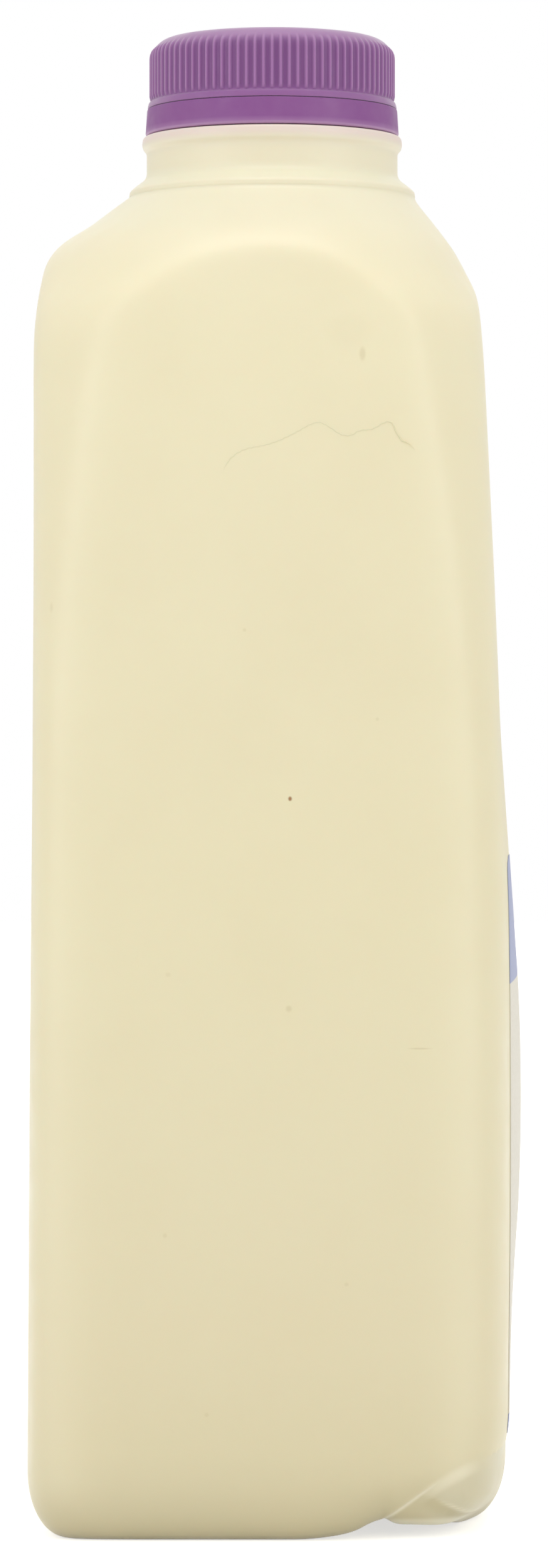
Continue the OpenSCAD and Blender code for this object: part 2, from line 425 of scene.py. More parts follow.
@dataclass(frozen=True)
class MilkyWall:
    """The blown wall: natural plastic with milk close behind it, with painted shade and painted highlights in its
    colour.
    """

    # Colour by height, with painted shade: darker towards the bottom and lighter on the shoulder as if lit from above,
    # and a painted mauve reflection and shade of the purple band on the neck just under it.
    shaded_by_height: tuple[tuple[float, Colour], ...] = (
        (0.0, linear(201, 191, 156)), (0.005, linear(209, 199, 164)), (0.014, linear(219, 209, 173)),
        (0.03, linear(225, 214, 179)), (0.06, linear(229, 219, 184)), (0.1, linear(233, 223, 187)),
        (0.15, linear(236, 226, 191)), (0.185, linear(239, 229, 194)), (0.198, linear(241, 231, 197)),
        (0.207, linear(240, 231, 200)), (0.2145, linear(237, 229, 201)), (0.2195, linear(238, 230, 203)),
        (0.2218, linear(234, 227, 208)), (0.2227, linear(226, 198, 202)),
        (0.2234, linear(231, 224, 206)), (0.237, linear(229, 222, 206)),
    )
    # Painted highlight for the bright bands where the flat sides meet the rounded corners.
    edge: Colour = linear(247, 240, 210)
    # Stress-whitened plastic together with a painted highlight along the dent's folds and painted light on its foot.
    whitened_and_lit: Colour = linear(244, 238, 214)
    pale: Colour = linear(214, 207, 179)
    # Painted shade for the dent's down-facing parts and along the hairline crease.
    deep: Colour = linear(198, 189, 152)
    specks: tuple[Speck, ...] = (
        Speck((0.0028, -0.038, 0.116), (0.00042, 0.003, 0.0005), 0.9, linear(150, 100, 50)),
        Speck((0.0026, -0.0384, 0.0833), (0.0007, 0.003, 0.0007), 0.3),
        Speck((0.023, -0.0383, 0.0771), (0.0024, 0.003, 0.0002), 0.35),
        Speck((0.0141, -0.0367, 0.1854), (0.0007, 0.003, 0.0015), 0.3),
        Speck((0.012, -0.0367, 0.189), (0.005, 0.004, 0.004), 0.05),
        Speck((-0.0043, -0.0375, 0.1423), (0.0004, 0.003, 0.0004), 0.22),
        Speck((0.0164, -0.0378, 0.1284), (0.0004, 0.003, 0.0004), 0.2),
        Speck((-0.0162, -0.0383, 0.0886), (0.0006, 0.003, 0.0005), 0.16),
        Speck((-0.0167, -0.0384, 0.048), (0.0005, 0.003, 0.0005), 0.2),
        Speck((0.0116, -0.0385, 0.0404), (0.0005, 0.003, 0.0004), 0.2),
        Speck((-0.0102, -0.0385, 0.0201), (0.0005, 0.003, 0.0005), 0.2),
        Speck((-0.0345, -0.036, 0.1459), (0.0004, 0.004, 0.0011), 0.2),
        Speck((0.0284, -0.033, 0.1928), (0.0004, 0.004, 0.0012), 0.18),
    )

    def material(self) -> bpy.types.Material:
        """Makes the wall's material."""
        sheet = Sheet("milky_wall")
        cloud = sheet.noise(48, 3)
        # The ramp paints the light from above into the wall: darker towards the bottom, lighter on the shoulder, mauve
        # just under the band.
        colour = sheet.ramp(sheet.axis("Z"), self.shaded_by_height)
        # The edge mark paints a highlight band along the corners.
        colour = sheet.mix(sheet.maths("MULTIPLY", sheet.mark("edge"), 0.22), colour, self.edge)
        colour = sheet.mix(sheet.ranged(cloud, 0.35, 0.8, 0.0, 0.12), colour, linear(222, 206, 166))
        # pale is the plastic with the milk further back; deep paints shade; crease paints stress-whitening with
        # highlights.
        for name, tint, share in (("pale", self.pale, 0.8), ("deep", self.deep, 0.75), ("crease", self.whitened_and_lit, 0.85)):
            colour = sheet.mix(sheet.maths("MULTIPLY", sheet.mark(name), share), colour, tint)
        for speck in self.specks:
            share = sheet.maths("MULTIPLY", sheet.near(speck.spot, speck.reach), speck.strength)
            colour = sheet.mix(share, colour, speck.colour)
        peel = sheet.bump(sheet.noise(420, 2), 0.00006, 0.6)
        lines = sheet.bump(sheet.noise(260, 2, (1, 1, 0.03)), 0.00004, 0.5, peel)
        rough = sheet.ranged(sheet.noise(160, 3), 0.3, 0.7, 0.34, 0.44)
        return sheet.finish(colour, rough, lines, Subsurface_Weight=0.1, Subsurface_Scale=0.002)


@dataclass(frozen=True)
class PurplePlastic:
    """The closure's moulded plastic: purple, satin and a little translucent at thin edges."""

    deep: Colour = linear(134, 78, 141)
    saturated: Colour = linear(131, 72, 139)
    # Painted highlight on the rib crests and, more faintly, on the rim.
    pale: Colour = linear(160, 109, 166)
    # Painted highlight on the cap's top rounding, lit from above, and on the thin lower lips.
    lip: Colour = linear(184, 146, 184)
    shaded: Colour = linear(112, 58, 122)

    def material(self, name: str, sheen: float) -> bpy.types.Material:
        """Makes the plastic's material under a name, with a share of light haze at its rims."""
        sheet = Sheet(name)
        colour = sheet.mix(sheet.ranged(sheet.noise(70, 2), 0.35, 0.65), self.deep, self.saturated)
        colour = sheet.mix(sheet.ranged(sheet.noise(420, 3), 0.3, 0.75, 0.0, 0.2), colour, linear(146, 96, 152))
        # The crest mark paints highlights on the ribs and rim, the lip mark paints light on the top rounding and thin
        # lips, and the groove mark paints shade between the ribs.
        colour = sheet.mix(sheet.maths("MULTIPLY", sheet.mark("crest"), 0.85), colour, self.pale)
        colour = sheet.mix(sheet.maths("MULTIPLY", sheet.mark("lip"), 0.8), colour, self.lip)
        colour = sheet.mix(sheet.maths("MULTIPLY", sheet.mark("groove"), 0.7), colour, self.shaded)
        grain = sheet.bump(sheet.noise(1600, 3), 0.00002, 0.6)
        rough = sheet.ranged(sheet.noise(300, 2), 0.3, 0.7, 0.38, 0.5)
        return sheet.finish(colour, rough, grain, Subsurface_Weight=0.05, Subsurface_Scale=0.001, Sheen_Weight=sheen)


@dataclass(frozen=True)
class LabelPaper:
    """The label's paper: a pale blue field over an off-white one, parted by an arc."""

    blue: Colour = linear(165, 172, 204)
    white: Colour = linear(229, 224, 211)
    arc_top: float = 0.0878
    arc_radius: float = 0.3
    strip_top: float = 0.0188

    def material(self) -> bpy.types.Material:
        """Makes the label's material."""
        sheet = Sheet("label_paper")
        node = sheet.add("ShaderNodeVectorMath", operation="DISTANCE")
        flat = sheet.add("ShaderNodeCombineXYZ")
        height = sheet.axis("Z")
        sheet.join(sheet.axis("Y"), flat.inputs["Y"])
        sheet.join(height, flat.inputs["Z"])
        sheet.join(flat.outputs["Vector"], node.inputs[0])
        node.inputs[1].default_value = (0.0, 0.0, self.arc_top - self.arc_radius)
        above = sheet.ranged(node.outputs["Value"], self.arc_radius - 0.0001, self.arc_radius + 0.0001)
        strip = sheet.ranged(height, self.strip_top - 0.0001, self.strip_top + 0.0001, 1.0, 0.0)
        colour = sheet.mix(sheet.maths("MAXIMUM", above, strip), self.white, self.blue)
        fibre = sheet.noise(1500, 4)
        colour = sheet.mix(sheet.ranged(fibre, 0.35, 0.7, 0.0, 0.12), colour, linear(206, 201, 188))
        bump = sheet.bump(fibre, 0.00003, 0.5)
        return sheet.finish(colour, sheet.ranged(fibre, 0.3, 0.7, 0.5, 0.62), bump)


@dataclass(frozen=True)
class MilkLiquid:
    """The milk itself, seen in the mouth when the cap is off."""

    cream: Colour = linear(247, 239, 213)
    froth: Colour = linear(252, 249, 236)

    def material(self) -> bpy.types.Material:
        """Makes the milk's material."""
        sheet = Sheet("milk_liquid")
        colour = sheet.mix(sheet.ranged(sheet.noise(130, 3), 0.35, 0.7), self.cream, linear(244, 234, 204))
        colour = sheet.mix(sheet.mark("froth"), colour, self.froth)
        ripple = sheet.bump(sheet.noise(90, 1), 0.0001, 0.5)
        return sheet.finish(colour, sheet.ranged(sheet.noise(60, 2), 0.3, 0.7, 0.12, 0.2), ripple,
                            Subsurface_Weight=0.2, Subsurface_Scale=0.002)


@dataclass(frozen=True)
class LinerFoam:
    """The sealing disc's fine white foam."""

    white: Colour = linear(240, 238, 232)

    def material(self) -> bpy.types.Material:
        """Makes the foam's material."""
        sheet = Sheet("liner_foam")
        cells = sheet.noise(2600, 3)
        colour = sheet.mix(sheet.ranged(cells, 0.3, 0.7), linear(224, 221, 213), self.white)
        return sheet.finish(colour, 0.7, sheet.bump(cells, 0.00005, 0.6))


@dataclass(frozen=True)
class Fold:
    """A sharp fold in the dented corner, which runs along a line of (x, z) across the front."""

    line: Table
    ridge: float
    before: float
    before_reach: float
    past: float
    past_reach: float
    far: float
    lasting: tuple[float, float] = (0.4, 0.8)
    starting: tuple[float, float] = (-0.1, 0.0)
    towards: Spot = (-0.4, 0.9, 0.12)

    def away(self, points: np.ndarray) -> tuple[np.ndarray, np.ndarray]:
        """Gives the points' distance past the line, and their place along it from 0 to 1."""
        x, z = points[..., 0], points[..., 2]
        best, along = np.full(x.shape, 1e6), np.zeros(x.shape)
        lengths = [math.dist(a, b) for a, b in zip(self.line, self.line[1:])]
        done = 0.0
        for (ax, az), (bx, bz), length in zip(self.line, self.line[1:], lengths):
            ux, uz = (bx - ax) / length, (bz - az) / length
            run = np.clip((x - ax) * ux + (z - az) * uz, 0, length)
            gap = np.hypot(x - ax - run * ux, z - az - run * uz)
            side = np.where((x - ax) * uz - (z - az) * ux > 0, 1.0, -1.0)
            closer = gap < np.abs(best)
            best = np.where(closer, gap * side, best)
            along = np.where(closer, (done + run) / sum(lengths), along)
            done += length
        return best, along

    def weight(self, points: np.ndarray) -> np.ndarray:
        """Gives 1 on the front corner and 0 on the rest of the body."""
        return ease(-20, -28, points[..., 1]) * ease(24, 15, points[..., 2])

    def sharp(self, along: np.ndarray) -> np.ndarray:
        """Gives how sharp the fold still is at a place along it."""
        return (1 - ease(*self.lasting, along)) * ease(*self.starting, along)

    def shown(self, points: np.ndarray) -> np.ndarray:
        """Gives the share of the fold's bright line at the points: a painted highlight along its ridge, over
        stress-whitening.
        """
        gap, along = self.away(points)
        return np.exp(-((gap / 0.3) ** 2)) * self.sharp(along) * self.weight(points)

    def apply(self, points: np.ndarray) -> np.ndarray:
        """Pushes the points in towards the fold on one side, and further in past it."""
        gap, along = self.away(points)
        fade = self.sharp(along)
        soft = self.before_reach + 3 * (1 - fade)
        near = self.before * np.exp(np.minimum(gap, 0) / soft)
        past = self.past * (1 - np.exp(-np.maximum(gap, 0) / (self.past_reach + 3 * (1 - fade))))
        push = (near + past * (0.3 + 0.7 * fade)) * (1 - ease(0.3 * self.far, self.far, gap))
        push = push * (0.25 + 0.75 * fade) - self.ridge * np.exp(-((gap / 0.3) ** 2)) * fade
        return points + (push * self.weight(points))[..., None] * np.array(self.towards)


@dataclass(frozen=True)
class Dent:
    """The knocked front corner of the base: pushed up, with two folds across it."""

    at: Spot = (31, -38, 0)
    reach: float = 28
    depth: float = 1.75
    notch: float = 1.6
    towards: Spot = (0.0, 0.3, 1.0)
    folds: tuple[Fold, ...] = (
        Fold(((15.6, 1.6), (17.8, 3.2), (20.2, 5.1), (23.1, 7.3), (25.5, 9.1), (28, 10.7), (30.5, 11.9), (33, 12.7)),
             0.25, 1.0, 2.6, 1.2, 0.8, 11, (0.45, 0.8)),
        Fold(((24.6, 7.0), (27.2, 5.8), (30.5, 4.2), (32.6, 3.75)), 0.15, 0.1, 1.0, 0.6, 0.5, 5, (0.9, 1.3), (0.1, 0.5)),
    )

    def share(self, points: np.ndarray) -> np.ndarray:
        """Gives the share of the dent's push at the points."""
        gap = np.linalg.norm(points - np.array(self.at), axis=-1)
        return ease(0, 1, 1.6 * (1 - gap / self.reach))

    def apply(self, points: np.ndarray) -> np.ndarray:
        """Pushes the points in."""
        share = self.share(points)
        x, y, z = points[..., 0], points[..., 1], points[..., 2]
        moved = points + (self.depth * share)[..., None] * np.array(self.towards)
        width = np.where(x < 17.6, 4.0, 1.9)
        moved[..., 2] += self.notch * np.exp(-(((x - 17.6) / width) ** 2)) * share * ease(8, 2, z)
        side = 0.95 * ease(19, 8, z) + 1.8 * ease(5.5, 0, z)
        moved[..., 0] -= side * ease(23, 34, x) * ease(-4, -16, y)
        for fold in self.folds:
            moved = fold.apply(moved)
        return moved

    def marks(self, points: np.ndarray) -> dict[str, np.ndarray]:
        """Gives where the dented wall is whitened and given painted highlights, pale, and given painted shade, for
        points already pushed in.
        """
        first, second = self.folds
        gap, along = first.away(points)
        below, _ = second.away(points)
        weight = first.weight(points)
        x, z = points[..., 0], points[..., 2]
        # curl and wedge face downwards and the facet's centre lies in shade: the deep mark paints them darker.
        curl = np.exp(np.minimum(gap, 0) / 3.2) * (gap < 0) * (1 - 0.6 * along) * ease(2, 6, z)
        wedge = ease(-0.2, 0.2, below) * ease(3.4, 0.6, below) * (gap > 0) * ease(2.6, 4, z)
        centre = np.exp(-(((x - 31.6) / 2.6) ** 2) - ((z - 8.5) / 3.2) ** 2)
        # band paints a soft patch of light along the upper part of the first fold; lit adds the painted highlight on
        # the fold ridges.
        band = ease(1.4, 0.2, np.abs(gap - 0.6)) * ease(0.35, 0.6, along) * ease(1.0, 0.8, along)
        lit = np.maximum(first.shown(points), second.shown(points) * 0.7)
        lit = np.maximum(lit, band * 0.5 * weight)
        # Painted light on the dented foot, standing in for light where the floor's shadow falls.
        painted_light_foot = ease(3.6, 2.6, z) * ease(16, 19, x) * (gap > 0) * weight
        facet = ease(-1.5, 3, gap) * ease(22, 27, x) * (1 - wedge)
        return {
            "crease": np.clip(np.maximum(lit, painted_light_foot), 0, 1),
            "deep": np.clip((curl * 0.28 + wedge * 0.7 + centre * 0.35 * (gap > 0)) * weight - lit, 0, 1),
            "pale": facet * weight,
        }


@dataclass(frozen=True)
class BottleShape:
    """The body's outer form, in millimetres.

    Each section is a rectangle of four flat sides that a rounder form trims at its corners. Each
    table gives a value against the height above the surface that the bottle stands on.
    """

    shoulder_top: float = 213.2
    heel: float = 5.8
    heel_height: float = 10
    push_up: float = 2.4
    left: Table = ((0, 38.85), (60, 38.5), (87, 38.27), (119, 37.95), (136, 37.85), (152, 37.8), (175, 37.9),
                   (189, 38), (195, 37.7), (199, 37.4), (203, 37.2), (213.2, 37))
    right: Table = ((0, 37.5), (20, 37.85), (60, 38.05), (95, 37.85), (103, 37.6), (111, 37.25), (119, 36.8),
                    (127, 36.3), (136, 35.95), (152, 35.3), (160, 34.95), (174, 34.4), (186, 33.9), (194, 33.5),
                    (213.2, 33.3))
    front: Table = ((0, 38.6), (60, 38.4), (120, 37.8), (175, 37), (190, 36.5), (198, 36.1), (213.2, 35.6))
    round_left: Table = ((0, 51.8), (60, 51.8), (113, 50.7), (133, 50), (154, 48.6), (173, 46.9), (187, 45),
                         (193, 42.8), (199, 39.3), (202.4, 37.1), (205.5, 34.2), (208.4, 29.7), (211.4, 25.7),
                         (213.2, 23.2))
    round_right: Table = ((0, 46.2), (60, 46.2), (113, 45.6), (133, 44.6), (154, 42.9), (173, 40.2), (187, 38),
                          (193, 36.2), (197, 33.9), (200, 32), (202.4, 30.7), (204.8, 29.3), (207.3, 27.5),
                          (209.5, 25.8), (211.5, 24.2), (213.2, 22.95))
    round_front: Table = ((0, 51.8), (60, 51.8), (113, 50.7), (133, 50), (154, 48.6), (173, 46.9), (187, 45.2),
                          (193, 44), (198, 40.2), (202, 36.6), (205.5, 32.8), (208.6, 28.9), (211.4, 25.3),
                          (213.2, 23.1))
    sharpness: Table = ((0, 22), (60, 22), (113, 26), (154, 34), (190, 40), (213.2, 40))
    swell: Table = ((0, 0), (20, 0), (33, 0.5), (42, 1.1), (52, 1.8), (66, 2.15), (79, 2.05), (87, 1.75),
                    (95, 1.25), (103, 0.9), (111, 0.6), (119, 0.32), (127, 0.1), (150, 0), (213.2, 0))
    swell_reach: float = 27.5
    spread: tuple[int, int, int, int] = (72, 64, 96, 200)

    def halves(self, z: float, inset: float) -> tuple[np.ndarray, ...]:
        """Gives the half-widths of the flat sides and of the round form, for right and for left."""
        flat = np.array([smooth(self.right, z), smooth(self.left, z)]) - inset
        form = np.array([smooth(self.round_right, z), smooth(self.round_left, z)]) - inset
        return flat, smooth(self.front, z) - inset, form, smooth(self.round_front, z) - inset

    def ring(self, z: float, inset: float, spread: Sequence[int] | None = None) -> np.ndarray:
        """Makes one ring of the body, with its points evenly spread in each quarter.

        Args:
            z: Height of the ring.
            inset: Distance from the body's sides, as on the base.
            spread: Number of points in each quarter.

        Returns:
            The ring's points, counter-clockwise from +X.
        """
        flat, b, form, form_b = self.halves(z, inset)
        power = float(smooth(self.sharpness, z))
        fine = np.linspace(0, math.pi / 2, 241)
        c, s = np.cos(fine), np.sin(fine)
        points = []
        for quarter, count in enumerate(spread or self.spread):
            side = 0 if quarter in (0, 3) else 1
            total = (c / flat[side]) ** power + (s / b) ** power
            total += ((c / form[side]) ** 2 + (s / form_b) ** 2) ** (power / 2)
            r = total ** (-1 / power)
            length = np.append(0, np.cumsum(np.hypot(np.diff(r * c), np.diff(r * s))))
            at = np.arange(count) / count * length[-1]
            at = length[-1] - at if quarter % 2 else at
            x, y = np.interp(at, length, r * c), np.interp(at, length, r * s)
            points.append(np.stack([x if side == 0 else -x, y if quarter < 2 else -y, np.full(count, z)], -1))
        return np.concatenate(points)

    def angles(self) -> np.ndarray:
        """Gives the angles of the columns where the body is round."""
        return np.concatenate([
            (quarter + np.arange(count) / count) * math.pi / 2 for quarter, count in enumerate(self.spread)])

    def edge(self, points: np.ndarray) -> np.ndarray:
        """Gives 1 where a flat side meets the round form, and 0 well away from there: where the corner highlight band
        is painted.
        """
        x, y, z = np.abs(points[..., 0]), np.abs(points[..., 1]), points[..., 2]
        right = points[..., 0] > 0
        power = smooth(self.sharpness, z)
        a = np.where(right, smooth(self.right, z), smooth(self.left, z))
        form = np.where(right, smooth(self.round_right, z), smooth(self.round_left, z))
        plain = (x / a) ** power + (y / smooth(self.front, z)) ** power
        trimmed = ((x / form) ** 2 + (y / smooth(self.round_front, z)) ** 2) ** (power / 2)
        share = trimmed / (plain + trimmed)
        return (4 * share * (1 - share)) ** 1.5 * ease(3, 10, z) * ease(200, 176, z)

    def swollen(self, points: np.ndarray) -> np.ndarray:
        """Swells the labelled side out at its middle."""
        across = np.clip(1 - (points[..., 1] / self.swell_reach) ** 2, 0, 1) ** 1.5
        out = np.clip(smooth(self.swell, points[..., 2]), 0, None) * across
        moved = points.copy()
        moved[..., 0] += np.where(points[..., 0] > 0, out, 0) * ease(20, 30, points[..., 0])
        return moved

    def face_point(self, y: np.ndarray, z: np.ndarray, out: float) -> np.ndarray:
        """Gives points on the labelled side, at a distance out from it."""
        a, b, power = smooth(self.right, z), smooth(self.front, z), smooth(self.sharpness, z)
        form, form_b = smooth(self.round_right, z), smooth(self.round_front, z)
        x = a
        for _ in range(12):
            trimmed = ((x / form) ** 2 + (y / form_b) ** 2) ** (power / 2)
            x = a * np.clip(1 - (np.abs(y) / b) ** power - trimmed, 1e-3, 1) ** (1 / power)
        points = self.swollen(np.stack([x, y, z], -1))
        points[..., 0] += out
        return points


@dataclass
class Bottle:
    """The blown bottle: body, shoulder, neck, mouth and threads in one skin of even thickness."""

    shape: BottleShape = field(default_factory=BottleShape)
    dent: Dent = field(default_factory=Dent)
    wall: float = 0.7
    mouth_r: float = 16.4
    finish_r: float = 17.75
    neck_r: float = 20.35
    bead_r: float = 21.1
    flange_r: float = 23.2
    mouth_z: float = 236.3
    lead: float = 12.0
    thread_starts: int = 4
    thread_arc: float = 100
    thread_z: float = 229.4
    thread_height: float = 0.98

    def base_and_sides(self) -> list[np.ndarray]:
        """Makes the outer rings from the middle of the base up to the flange."""
        shape = self.shape
        rings = []
        for share in np.linspace(0, 1, 16):
            rise = shape.push_up * (1 - ease(0.55, 1, share))
            rings.append(shape.ring(0, 37 - 27.5 * share) + np.array([0, 0, rise]))
        rings += [shape.ring(0, inset) for inset in (8.6, 7.6, 6.8, 6.2)]
        for angle in np.radians(np.linspace(0, 90, 34)):
            inset = shape.heel * (1 - math.sin(angle))
            rings.append(shape.ring(shape.heel_height * (1 - math.cos(angle)), inset))
        heights = np.concatenate([
            np.arange(shape.heel_height + 0.4, 18, 0.4), np.arange(18, 24, 1.0), np.arange(24, 188, 2.5),
            np.arange(188, 213.2, 0.7)])
        return rings + [shape.ring(z, 0) for z in heights]

    def neck_outline(self) -> np.ndarray:
        """Gives the neck's outline, from the flange over the mouth and down the bore."""
        n, b, f, m = self.neck_r, self.bead_r, self.flange_r, self.mouth_z
        corners = [
            (f - 0.05, 213.25, 0), (f, 213.45, 0.1), (f - 0.08, 214.15, 0.6), (f - 1.0, 214.95, 1.0),
            (n, 216.3, 1.2), (n, 220.5, 0.4), (b - 0.15, 221.2, 0.3), (b, 221.9, 0.4),
            (b - 0.12, 222.75, 0.25), (b - 0.4, 223.05, 0.1), (n - 0.5, 223.1, 0.05),
            (self.finish_r + 0.35, 223.3, 0.3),
            (self.finish_r + 0.35, 225.7, 0.2), (self.finish_r + 1.6, 226.05, 0.25),
            (self.finish_r + 1.5, 226.5, 0.25), (self.finish_r, 227.1, 0.3),
            (self.finish_r, m - 0.05, 0.5), (self.mouth_r, m - 0.02, 0.45), (self.mouth_r, 222.3, 0.6),
            (n - 1.4, 220.7, 0.6), (n - 1.4, 216.8, 0.5), (f - 1.0, 214.6, 0.4), (f - 0.9, 213.0, 0),
        ]
        return divided(filleted(corners), 0.9)

    def skin(self) -> tuple[np.ndarray, dict[str, np.ndarray]]:
        """Makes the whole skin: up the outside, over the mouth and down the inside."""
        shape = self.shape
        plain = np.array(self.base_and_sides())
        outer = self.dent.apply(shape.swollen(plain))
        # The edge mark places the painted corner highlight; the dent's marks place its painted shade and highlights.
        marks = {"edge": shape.edge(plain), **self.dent.marks(outer)}
        neck = turned(self.neck_outline(), shape.angles())
        inner = [shape.ring(z, self.wall * 1.3) for z in np.arange(212, 24, -6.0)]
        inner += [shape.ring(z, inset) for z, inset in ((20, 1.5), (15, 4), (10, 7), (7, 12), (6.6, 30))]
        rings = np.concatenate([outer, neck, shape.swollen(np.array(inner))])
        pad = np.zeros((len(rings) - len(outer), rings.shape[1]))
        return rings, {name: np.concatenate([mark, pad]) for name, mark in marks.items()}

    def build(self, finish: MilkyWall) -> bpy.types.Object:
        """Builds and dresses the bottle.

        Args:
            finish: The wall's finish.

        Returns:
            The bottle.
        """
        builder = MeshBuilder("blown_bottle")
        rings, marks = self.skin()
        builder.loft(rings, **marks)
        for i in range(self.thread_starts):
            builder.loft(helix_ridge(
                self.finish_r - 0.05, self.finish_r + self.thread_height, self.thread_z, self.lead,
                self.thread_arc, i * 360 / self.thread_starts))
        made = builder.build(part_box("bottle"))
        made.data.materials.append(finish.material())
        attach(made, Body.BOTTLE.value)
        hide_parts("bottle")
        return made


@dataclass
class HairlineCrease:
    """The fine wavy crease across the upper part of the front."""

    shape: BottleShape = field(default_factory=BottleShape)
    radius: float = 0.07
    route: Table = ((-7.7, 165.9), (-7.4, 167.6), (-6.1, 169.4), (-4.2, 170.5), (-1.4, 171.1), (1.1, 171.9),
                    (3.6, 173.1), (6, 174.4), (7.4, 174.7), (8.9, 174), (10.8, 172.8), (12.3, 172.7),
                    (13.6, 173.4), (15.7, 173.7), (17.6, 174.7), (18.7, 174.6), (19.3, 173.3), (20.2, 171.9),
                    (21.2, 171.5), (22.3, 170.4))

    def build(self, material: bpy.types.Material) -> bpy.types.Object:
        """Builds the crease as a thin ridge that lies in the wall's surface."""
        share = np.linspace(0, 1, 160)
        xs = self.route[0][0] + (self.route[-1][0] - self.route[0][0]) * (share + 0.6 * share**2) / 1.6
        zs = smooth(self.route, xs) + 0.05 * np.sin(xs * 6.7 + 1)
        ys = -smooth(self.shape.front, zs)
        path = np.stack([xs, ys + self.radius * 0.3, zs], -1)
        along = np.gradient(path, axis=0)
        along /= np.linalg.norm(along, axis=1)[:, None]
        out = np.array([0.0, -1.0, 0.0])
        side = np.cross(along, out)
        fade = np.minimum(1, np.minimum(np.arange(160), np.arange(160)[::-1]) / 6) * self.radius + 0.01
        angle = np.arange(8) * math.pi / 4
        ring = np.cos(angle)[None, :, None] * side[:, None] + np.sin(angle)[None, :, None] * out
        builder = MeshBuilder("wall_crease")
        rings = (path[:, None] + ring * fade[:, None, None])[:, ::-1]
        # The deep mark paints shade along the ridge.
        builder.loft(rings, deep=np.full(rings.shape[:2], 0.22))
        made = builder.build(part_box("bottle"))
        made.data.materials.append(material)
        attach(made, Body.BOTTLE.value)
        return made


@dataclass
class SideLabel:
    """The label on the swollen side."""

    shape: BottleShape = field(default_factory=BottleShape)
    dent: Dent = field(default_factory=Dent)
    width: float = 50
    low: float = 15
    high: float = 107
    thick: float = 0.07
    gap: float = 0.03
    corner: float = 3

    def grid(self, out: float) -> np.ndarray:
        """Makes the label's points, with its corners rounded."""
        zs = np.linspace(self.low, self.high, 80)
        half = np.full(len(zs), self.width / 2)
        rim = np.minimum(zs - self.low, self.high - zs)
        near = rim < self.corner
        half[near] -= self.corner - np.sqrt(self.corner**2 - (self.corner - rim[near]) ** 2)
        y = np.linspace(-1, 1, 41)[None, :] * half[:, None]
        return self.dent.apply(self.shape.face_point(y, np.repeat(zs[:, None], 41, 1), out))

    def build(self, finish: LabelPaper) -> bpy.types.Object:
        """Builds and dresses the label."""
        back, front = self.grid(self.gap), self.grid(self.gap + self.thick)
        rings = np.concatenate([front, back[:, ::-1]], 1)
        builder = MeshBuilder("paper_label")
        builder.loft(rings)
        made = builder.build(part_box("side_label"))
        made.data.materials.append(finish.material())
        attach(made, Body.BOTTLE.value)
        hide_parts("side_label")
        return made


@dataclass
class Milk:
    """The milk, up into the neck, with a meniscus and a few bubbles at its edge."""

    shape: BottleShape = field(default_factory=BottleShape)
    spread: tuple[int, int, int, int] = (24, 24, 24, 24)
    gap: float = 0.9
    neck_r: float = 18.7
    surface: float = 219.4
    bubbles: int = 16

    def build(self, finish: MilkLiquid) -> bpy.types.Object:
        """Builds and dresses the milk."""
        shape = self.shape
        rings = [shape.ring(7.4, 30, self.spread)]
        rings += [shape.ring(z, inset, self.spread) for z, inset in ((7.6, 14), (10, 8), (15, 5), (20, 2))]
        rings += [shape.ring(z, self.gap, self.spread) for z in np.arange(26, 212, 6.0)]
        top = filleted([
            (21.5, 213, 0), (21.5, 214.2, 0.5), (self.neck_r, 216.2, 0.5), (self.neck_r, self.surface + 0.15, 0.05),
            (self.neck_r - 0.5, self.surface - 0.1, 0.3), (self.neck_r - 2, self.surface - 0.25, 1),
            (0.4, self.surface - 0.25, 0)])
        neck = turned(divided(top, 1.5), sum(self.spread))
        body = np.concatenate([shape.swollen(np.array(rings)), neck])
        builder = MeshBuilder("milk_fill")
        builder.loft(body, froth=np.zeros(body.shape[:2]))
        rng = np.random.default_rng(7)
        for _ in range(self.bubbles):
            angle, size = rng.uniform(0, 2 * math.pi), rng.uniform(0.25, 0.7)
            arc = np.linspace(0.02, math.pi / 2, 6)
            dome = turned(np.stack([size * np.cos(arc), size * np.sin(arc) * 0.6], -1), 16)
            reach = self.neck_r - 1.2 - size
            dome += np.array([reach * math.cos(angle), reach * math.sin(angle), self.surface - 0.26])
            builder.loft(dome, froth=np.ones(dome.shape[:2]))
        made = builder.build(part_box("milk"))
        made.data.materials.append(finish.material())
        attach(made, Body.BOTTLE.value)
        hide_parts("milk")
        return made


